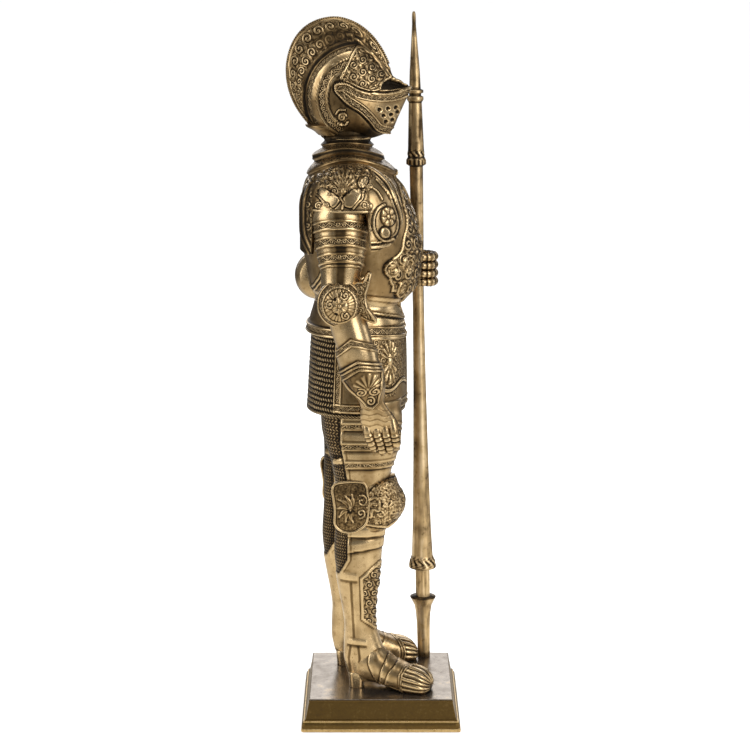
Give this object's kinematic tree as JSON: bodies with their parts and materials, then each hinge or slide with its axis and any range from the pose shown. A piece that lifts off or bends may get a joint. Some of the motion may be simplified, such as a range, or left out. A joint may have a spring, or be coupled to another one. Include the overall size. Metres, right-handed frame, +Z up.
{
  "type": "medieval knight statue",
  "caption": "Cast bronze-finished statue of a standing knight in ornate plate armour with closed helmet and upright lance, on a square plinth.",
  "frame": {"origin": "middle of the plinth's underside, on the surface that the statue stands on", "axes": "+Z up, the figure faces -Y, its left side with the lance is +X"},
  "size_m": [0.1494, 0.1229, 0.5],
  "materials": {
    "figure_bronze": "antique gold-bronze, dark wash in the hollows",
    "lance_bronze": "antique gold-bronze, dark wash in the hollows",
    "plinth_bronze": "brown bronze, glossy top and mottled sides"
  },
  "bodies": {
    "root": {"knight_figure": "figure_bronze", "lance": "lance_bronze", "plinth": "plinth_bronze"}
  },
  "joints": []
}
